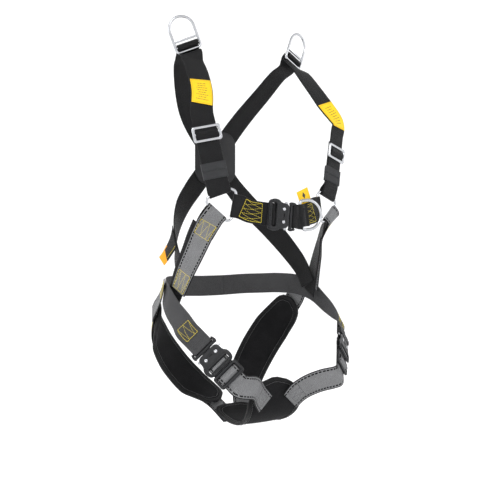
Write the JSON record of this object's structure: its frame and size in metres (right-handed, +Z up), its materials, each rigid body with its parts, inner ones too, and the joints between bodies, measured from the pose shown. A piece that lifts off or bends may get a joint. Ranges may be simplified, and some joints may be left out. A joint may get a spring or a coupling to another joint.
{
  "type": "safety harness",
  "caption": "Full-body fall-arrest harness of webbing straps with shoulder, chest and back D-rings, sliders and quick-release buckles.",
  "frame": {"origin": "midway between the places where the two straps rest on the wearer's shoulders", "axes": "+Z up the wearer's back, -Y the way the wearer faces, +X the wearer's left"},
  "size_m": [0.41, 0.314, 0.8311],
  "materials": {
    "webbing_black": "woven polyester, matte",
    "webbing_grey": "woven polyester with black edges",
    "webbing_dark": "woven polyester, dark grey",
    "pad_black": "knitted cover over foam",
    "steel": "polished",
    "buckle_black": "satin coated",
    "keeper": "matte elastic",
    "label_yellow": "printed cloth",
    "dorsal_plastic": "moulded, fine grain"
  },
  "bodies": {
    "webbing": {"ring_left": "steel", "ring_right": "steel", "shoulder_strap_left": "webbing_black", "shoulder_label_left": "label_yellow", "shoulder_strap_right": "webbing_black", "shoulder_label_right": "label_yellow", "chest_strap_right": "webbing_black", "chest_strap_left": "webbing_black", "chest_tongue": "buckle_black", "front_d_loop": "webbing_black", "chest_tag": "label_yellow", "side_strap_left": "webbing_grey", "back_strap_left": "webbing_black", "hip_strap_left": "webbing_dark", "leg_strap_left": "webbing_grey", "rear_pad_left": "pad_black", "leg_left_back_plate": "buckle_black", "leg_left_front_plate": "buckle_black", "side_strap_right": "webbing_grey", "back_strap_right": "webbing_black", "hip_strap_right": "webbing_dark", "leg_strap_right": "webbing_grey", "rear_pad_right": "pad_black", "leg_right_back_plate": "buckle_black", "leg_right_front_plate": "buckle_black", "dorsal_plate": "dorsal_plastic", "crotch_pad": "pad_black"},
    "shoulder_d_left": {"shoulder_d_left": "steel"},
    "slider_left": {"slider_left": "steel"},
    "keeper_upper_left": {"keeper_upper_left": "keeper"},
    "keeper_lower_left": {"keeper_lower_left": "keeper"},
    "adjuster_left": {"adjuster_left": "buckle_black"},
    "shoulder_d_right": {"shoulder_d_right": "steel"},
    "slider_right": {"slider_right": "steel"},
    "keeper_upper_right": {"keeper_upper_right": "keeper"},
    "keeper_lower_right": {"keeper_lower_right": "keeper"},
    "adjuster_right": {"adjuster_right": "buckle_black"},
    "front_d": {"front_d": "steel"},
    "dorsal_d": {"dorsal_d": "steel"},
    "chest_housing": {"chest_front_plate": "buckle_black", "chest_back_plate": "buckle_black"},
    "chest_lever_a": {"chest_lever_a": "steel"},
    "chest_lever_b": {"chest_lever_b": "steel"},
    "leg_left_tongue": {"leg_left_tongue": "buckle_black"},
    "leg_left_lever_a": {"leg_left_lever_a": "steel"},
    "leg_left_lever_b": {"leg_left_lever_b": "steel"},
    "leg_right_tongue": {"leg_right_tongue": "buckle_black"},
    "leg_right_lever_a": {"leg_right_lever_a": "steel"},
    "leg_right_lever_b": {"leg_right_lever_b": "steel"}
  },
  "joints": [
    {"name": "shoulder_d_left_tilt", "type": "hinge", "parent": "webbing", "child": "shoulder_d_left", "pos_m": [0.133, 0, 0.009], "axis": [0.8885, 0.2686, -0.3719], "range_deg": [-26, 6]},
    {"name": "slider_left_adjust", "type": "slide", "parent": "webbing", "child": "slider_left", "axis": [-0.2267, -0.1208, -0.9664], "range_m": [-0.008, 0.008]},
    {"name": "keeper_upper_left_slide", "type": "slide", "parent": "webbing", "child": "keeper_upper_left", "axis": [-0.2192, -0.1313, -0.9668], "range_m": [-0.006, 0]},
    {"name": "keeper_lower_left_slide", "type": "slide", "parent": "webbing", "child": "keeper_lower_left", "axis": [-0.2192, -0.1313, -0.9668], "range_m": [0, 0.002]},
    {"name": "adjuster_left_adjust", "type": "slide", "parent": "webbing", "child": "adjuster_left", "axis": [-0.4716, -0.5525, -0.6872], "range_m": [0, 0.008]},
    {"name": "shoulder_d_right_tilt", "type": "hinge", "parent": "webbing", "child": "shoulder_d_right", "pos_m": [-0.133, 0, 0.009], "axis": [-0.8885, 0.2686, -0.3719], "range_deg": [-6, 26]},
    {"name": "slider_right_adjust", "type": "slide", "parent": "webbing", "child": "slider_right", "axis": [0.1764, -0.1221, -0.9767], "range_m": [-0.004, 0.012]},
    {"name": "keeper_upper_right_slide", "type": "slide", "parent": "webbing", "child": "keeper_upper_right", "axis": [0.1649, -0.1327, -0.9773], "range_m": [-0.006, 0]},
    {"name": "keeper_lower_right_slide", "type": "slide", "parent": "webbing", "child": "keeper_lower_right", "axis": [0.1649, -0.1327, -0.9773], "range_m": [0, 0.002]},
    {"name": "adjuster_right_adjust", "type": "slide", "parent": "webbing", "child": "adjuster_right", "axis": [0.4716, -0.5525, -0.6872], "range_m": [0, 0.008]},
    {"name": "front_d_swing", "type": "hinge", "parent": "webbing", "child": "front_d", "pos_m": [0.03432, -0.15819, -0.33695], "axis": [0.1069, -0.0497, -0.993], "range_deg": [-6, 140]},
    {"name": "dorsal_d_swing", "type": "hinge", "parent": "webbing", "child": "dorsal_d", "pos_m": [0, 0.12555, -0.219], "axis": [1, 0, 0], "range_deg": [0, 150]},
    {"name": "chest_housing_release", "type": "slide", "parent": "webbing", "child": "chest_housing", "axis": [-0.9846, 0.1331, 0.113], "range_m": [0, 0.028]},
    {"name": "chest_lever_a_press", "type": "hinge", "parent": "chest_housing", "child": "chest_lever_a", "pos_m": [-0.00923, -0.15838, -0.32502], "axis": [0.1264, 0.9899, -0.0649], "range_deg": [0, 16], "stiffness_Nm_per_rad": 0.2, "springref_deg": -8.59},
    {"name": "chest_lever_b_press", "type": "hinge", "parent": "chest_housing", "child": "chest_lever_b", "pos_m": [-0.01227, -0.15963, -0.35001], "axis": [-0.1264, -0.9899, 0.0649], "range_deg": [0, 16], "stiffness_Nm_per_rad": 0.2, "springref_deg": -8.59},
    {"name": "leg_left_tongue_release", "type": "slide", "parent": "webbing", "child": "leg_left_tongue", "axis": [0.4716, 0.5525, 0.6872], "range_m": [0, 0.028]},
    {"name": "leg_left_lever_a_press", "type": "hinge", "parent": "webbing", "child": "leg_left_lever_a", "pos_m": [0.15179, -0.13966, -0.59359], "axis": [-0.5935, 0.7753, -0.216], "range_deg": [0, 16], "stiffness_Nm_per_rad": 0.2, "springref_deg": -8.59},
    {"name": "leg_left_lever_b_press", "type": "hinge", "parent": "webbing", "child": "leg_left_lever_b", "pos_m": [0.16823, -0.13195, -0.61106], "axis": [0.5935, -0.7753, 0.216], "range_deg": [0, 16], "stiffness_Nm_per_rad": 0.2, "springref_deg": -8.59},
    {"name": "leg_right_tongue_release", "type": "slide", "parent": "webbing", "child": "leg_right_tongue", "axis": [-0.4716, 0.5525, 0.6872], "range_m": [0, 0.028]},
    {"name": "leg_right_lever_a_press", "type": "hinge", "parent": "webbing", "child": "leg_right_lever_a", "pos_m": [-0.16823, -0.13195, -0.61106], "axis": [0.5935, 0.7753, -0.216], "range_deg": [0, 16], "stiffness_Nm_per_rad": 0.2, "springref_deg": -8.59},
    {"name": "leg_right_lever_b_press", "type": "hinge", "parent": "webbing", "child": "leg_right_lever_b", "pos_m": [-0.15179, -0.13966, -0.59359], "axis": [-0.5935, -0.7753, 0.216], "range_deg": [0, 16], "stiffness_Nm_per_rad": 0.2, "springref_deg": -8.59}
  ]
}
